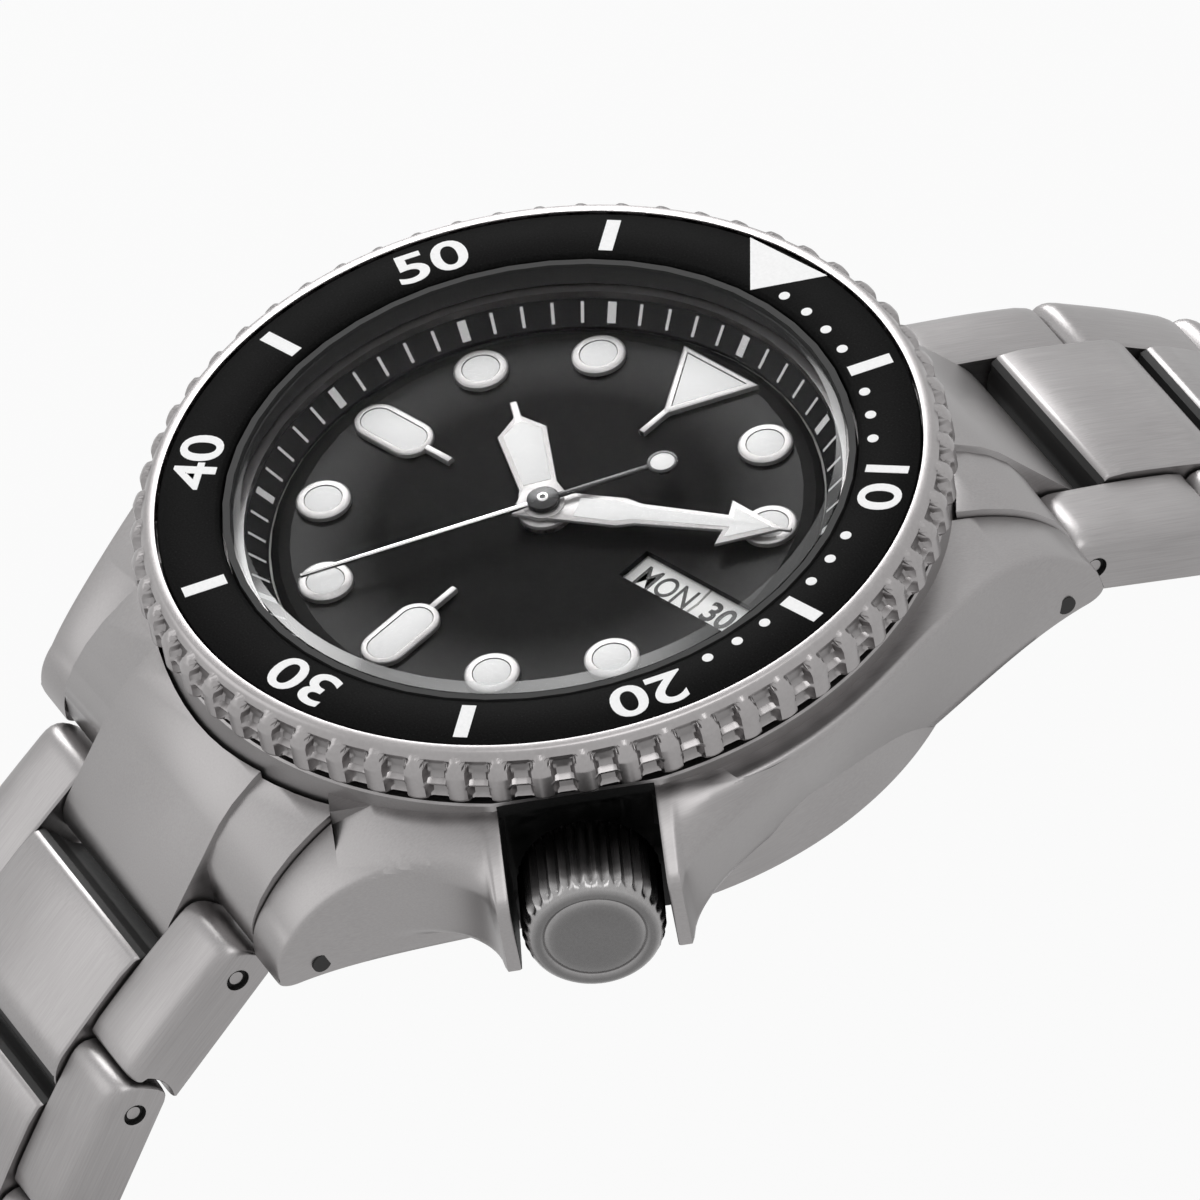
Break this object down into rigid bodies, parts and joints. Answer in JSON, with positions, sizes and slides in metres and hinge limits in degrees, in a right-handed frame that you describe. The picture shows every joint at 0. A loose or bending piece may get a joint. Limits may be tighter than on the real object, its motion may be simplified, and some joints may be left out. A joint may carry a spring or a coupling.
{
  "type": "wristwatch",
  "caption": "Round steel wristwatch with a turning dive bezel, day and date window, guarded crown and a link bracelet closed by a folding clasp.",
  "frame": {"origin": "centre of the case back's flat underside, which lies on the wrist", "axes": "+Z out of the dial, +Y towards the lugs at twelve, +X towards the crown side"},
  "size_m": [0.0459, 0.0861, 0.1031],
  "materials": {
    "black_dial": "sunburst",
    "black_metal": "satin",
    "brass": "satin",
    "glass": "clear",
    "movement_plastic": "matt",
    "plated": "plated",
    "polished_steel": "polished",
    "rubber": "matt",
    "steel": "brushed",
    "white": "printed"
  },
  "bodies": {
    "head": {"case_middle": "steel", "case_back_ring": "steel", "case_back_window": "glass", "case_back_gasket": "rubber", "crystal": "glass", "crystal_gasket": "rubber", "bezel_gasket": "rubber", "bezel_click_spring": "polished_steel", "chapter_ring": "black_dial", "dial": "black_dial", "crown_tube": "steel", "movement_holder": "movement_plastic", "mainplate": "plated", "train_bridge": "plated", "balance_cock": "plated", "rotor_axle": "polished_steel", "end_link_12": "steel", "end_link_6": "steel", "spring_bar_12": "polished_steel", "spring_bar_6": "polished_steel"},
    "bezel": {"bezel_ring": "steel", "bezel_insert": "black_metal"},
    "pull_carrier": {"setting_lever": "plated"},
    "crown": {"crown": "steel", "winding_stem": "polished_steel", "crown_gasket": "rubber"},
    "hour_hand": {"hour_hand": "polished_steel"},
    "minute_hand": {"minute_hand": "polished_steel"},
    "second_hand": {"second_hand": "polished_steel"},
    "day_disc": {"day_disc": "white"},
    "date_ring": {"date_ring": "white"},
    "rotor": {"rotor": "plated"},
    "balance": {"balance_wheel": "brass"},
    "link_12_1": {"link_12_1": "steel"},
    "link_12_2": {"link_12_2": "steel"},
    "link_12_3": {"link_12_3": "steel"},
    "link_12_4": {"link_12_4": "steel"},
    "link_12_5": {"link_12_5": "steel"},
    "link_12_6": {"link_12_6": "steel"},
    "link_12_7": {"link_12_7": "steel"},
    "link_6_1": {"link_6_1": "steel"},
    "link_6_2": {"link_6_2": "steel"},
    "link_6_3": {"link_6_3": "steel"},
    "link_6_4": {"link_6_4": "steel"},
    "link_6_5": {"link_6_5": "steel"},
    "link_6_6": {"link_6_6": "steel"},
    "link_6_7": {"link_6_7": "steel", "clasp_spring_bar": "polished_steel"},
    "clasp_lower_blade": {"clasp_lower_blade": "steel"},
    "clasp_middle_blade": {"clasp_middle_blade": "steel"},
    "clasp_cover": {"clasp_cover": "steel"},
    "clasp_button_left": {"clasp_button_left": "steel"},
    "clasp_button_right": {"clasp_button_right": "steel"}
  },
  "joints": [
    {"name": "bezel_turn", "type": "hinge", "parent": "head", "child": "bezel", "pos_m": [0, 0, 0.013], "axis": [0, 0, 1], "continuous": true},
    {"name": "crown_pull", "type": "slide", "parent": "head", "child": "pull_carrier", "axis": [0.9121, -0.4099, 0], "range_m": [0, 0.0012]},
    {"name": "crown_turn", "type": "hinge", "parent": "pull_carrier", "child": "crown", "pos_m": [0.02326, -0.01045, 0.0055], "axis": [0.9121, -0.4099, 0], "continuous": true},
    {"name": "second_hand_turn", "type": "hinge", "parent": "head", "child": "second_hand", "pos_m": [0, 0, 0.01124], "axis": [0, 0, -1], "continuous": true},
    {"name": "minute_hand_turn", "type": "hinge", "parent": "head", "child": "minute_hand", "pos_m": [0, 0, 0.0109], "axis": [0, 0, -1], "continuous": true},
    {"name": "hour_hand_turn", "type": "hinge", "parent": "head", "child": "hour_hand", "pos_m": [0, 0, 0.01056], "axis": [0, 0, -1], "continuous": true},
    {"name": "day_turn", "type": "hinge", "parent": "head", "child": "day_disc", "pos_m": [0, 0, 0.00973], "axis": [0, 0, 1], "continuous": true},
    {"name": "date_turn", "type": "hinge", "parent": "head", "child": "date_ring", "pos_m": [0, 0, 0.00973], "axis": [0, 0, 1], "continuous": true},
    {"name": "rotor_swing", "type": "hinge", "parent": "head", "child": "rotor", "pos_m": [0, 0, 0.00405], "axis": [0, 0, 1], "continuous": true},
    {"name": "balance_swing", "type": "hinge", "parent": "head", "child": "balance", "pos_m": [-0.00693, 0.004, 0.0046], "axis": [0, 0, 1], "range_deg": [-135, 135], "stiffness_Nm_per_rad": 0.000001},
    {"name": "link_12_1_hinge", "type": "hinge", "parent": "head", "child": "link_12_1", "pos_m": [0, 0.0242, 0.0003], "axis": [1, 0, 0], "range_deg": [0, 19]},
    {"name": "link_12_2_hinge", "type": "hinge", "parent": "link_12_1", "child": "link_12_2", "pos_m": [0, 0.03218, -0.00276], "axis": [1, 0, 0], "range_deg": [0, 21]},
    {"name": "link_12_3_hinge", "type": "hinge", "parent": "link_12_2", "child": "link_12_3", "pos_m": [0, 0.03901, -0.00791], "axis": [1, 0, 0], "range_deg": [0, 29.8]},
    {"name": "link_12_4_hinge", "type": "hinge", "parent": "link_12_3", "child": "link_12_4", "pos_m": [0, 0.04306, -0.01544], "axis": [1, 0, 0], "range_deg": [0, 29.8]},
    {"name": "link_12_5_hinge", "type": "hinge", "parent": "link_12_4", "child": "link_12_5", "pos_m": [0, 0.04357, -0.02398], "axis": [1, 0, 0], "range_deg": [-21.3, 8.5]},
    {"name": "link_12_6_hinge", "type": "hinge", "parent": "link_12_5", "child": "link_12_6", "pos_m": [0, 0.04357, -0.03253], "axis": [1, 0, 0], "range_deg": [-24.77, 5]},
    {"name": "link_12_7_hinge", "type": "hinge", "parent": "link_12_6", "child": "link_12_7", "pos_m": [0, 0.04357, -0.04108], "axis": [1, 0, 0], "range_deg": [-24.77, 5]},
    {"name": "link_6_1_hinge", "type": "hinge", "parent": "head", "child": "link_6_1", "pos_m": [0, -0.0242, 0.0003], "axis": [-1, 0, 0], "range_deg": [0, 36.6]},
    {"name": "link_6_2_hinge", "type": "hinge", "parent": "link_6_1", "child": "link_6_2", "pos_m": [0, -0.03088, -0.00503], "axis": [-1, 0, 0], "range_deg": [0, 21]},
    {"name": "link_6_3_hinge", "type": "hinge", "parent": "link_6_2", "child": "link_6_3", "pos_m": [0, -0.03583, -0.012], "axis": [-1, 0, 0], "range_deg": [0, 29.8]},
    {"name": "link_6_4_hinge", "type": "hinge", "parent": "link_6_3", "child": "link_6_4", "pos_m": [0, -0.03741, -0.02041], "axis": [-1, 0, 0], "range_deg": [-14.13, 15.6]},
    {"name": "link_6_5_hinge", "type": "hinge", "parent": "link_6_4", "child": "link_6_5", "pos_m": [0, -0.03741, -0.02896], "axis": [-1, 0, 0], "range_deg": [-24.77, 5]},
    {"name": "link_6_6_hinge", "type": "hinge", "parent": "link_6_5", "child": "link_6_6", "pos_m": [0, -0.03741, -0.03751], "axis": [-1, 0, 0], "range_deg": [-24.77, 5]},
    {"name": "link_6_7_hinge", "type": "hinge", "parent": "link_6_6", "child": "link_6_7", "pos_m": [0, -0.03741, -0.04606], "axis": [-1, 0, 0], "range_deg": [-24.77, 5]},
    {"name": "clasp_hinge", "type": "hinge", "parent": "link_12_7", "child": "clasp_lower_blade", "pos_m": [0, 0.04357, -0.04963], "axis": [1, 0, 0], "range_deg": [-21.03, 25]},
    {"name": "clasp_fold", "type": "hinge", "parent": "clasp_lower_blade", "child": "clasp_middle_blade", "pos_m": [0, 0.04327, -0.08513], "axis": [-1, 0, 0], "range_deg": [0, 115]},
    {"name": "clasp_cover_hinge", "type": "hinge", "parent": "clasp_middle_blade", "child": "clasp_cover", "pos_m": [0, 0.04327, -0.05483], "axis": [-1, 0, 0], "range_deg": [-115, 0]},
    {"name": "clasp_button_right_push", "type": "slide", "parent": "clasp_cover", "child": "clasp_button_right", "axis": [-1, 0, 0], "range_m": [0, 0.0005], "stiffness_N_per_m": 300, "springref_m": -0.0003},
    {"name": "clasp_button_left_push", "type": "slide", "parent": "clasp_cover", "child": "clasp_button_left", "axis": [1, 0, 0], "range_m": [0, 0.0005], "stiffness_N_per_m": 300, "springref_m": -0.0003}
  ],
  "couplings": [
    {"joint": "minute_hand_turn", "follows": "second_hand_turn", "ratio": 0.016667},
    {"joint": "hour_hand_turn", "follows": "second_hand_turn", "ratio": 0.0013889},
    {"joint": "clasp_cover_hinge", "follows": "clasp_fold", "ratio": -1}
  ]
}
